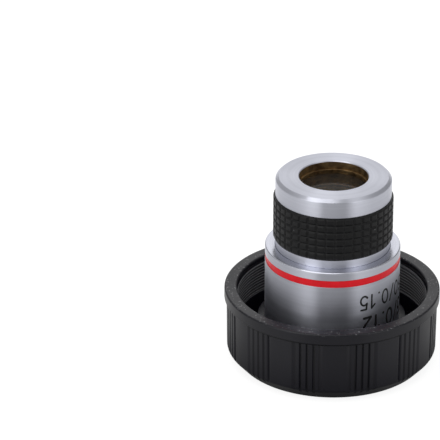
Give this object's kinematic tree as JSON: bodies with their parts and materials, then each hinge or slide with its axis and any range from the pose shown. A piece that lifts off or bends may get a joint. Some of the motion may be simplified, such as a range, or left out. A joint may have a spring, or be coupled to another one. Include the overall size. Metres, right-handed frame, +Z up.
{
  "type": "microscope objective",
  "caption": "Low power achromatic microscope objective with knurled grip ring and colour band, standing nose up, screwed by its mount thread into a ribbed black storage cap.",
  "frame": {"origin": "middle of the storage cap's underside, on the optical axis", "axes": "+Z up along the optical axis, from the mount thread towards the nose; -Y faces the camera of the reference view"},
  "size_m": [0.0384, 0.0384, 0.0352],
  "materials": {
    "moulded_black": "satin",
    "satin_chrome": "satin",
    "black_anodised": "satin",
    "red_enamel": "gloss",
    "blackened_brass": "satin",
    "bright_brass": "satin",
    "optical_glass": "polished",
    "engraving_fill": "matte"
  },
  "bodies": {
    "cap": {"storage_cap": "moulded_black"},
    "objective": {"mount_body": "satin_chrome", "parfocal_shim": "bright_brass", "barrel_sleeve": "satin_chrome", "colour_band": "red_enamel", "front_sleeve": "satin_chrome", "grip_ring": "black_anodised", "nose_ring": "satin_chrome", "front_cell": "blackened_brass", "front_retaining_ring": "blackened_brass", "front_crown_lens": "optical_glass", "front_flint_lens": "optical_glass", "aperture_stop": "blackened_brass", "spacer_tube": "blackened_brass", "rear_cell": "blackened_brass", "rear_crown_lens": "optical_glass", "rear_flint_lens": "optical_glass", "rear_retaining_ring": "blackened_brass", "stack_lock_ring": "blackened_brass", "rear_baffle": "blackened_brass"}
  },
  "joints": [
    {"name": "objective_lift", "type": "slide", "parent": "cap", "child": "objective", "axis": [0, 0, 1], "range_m": [0, 0.015]}
  ]
}
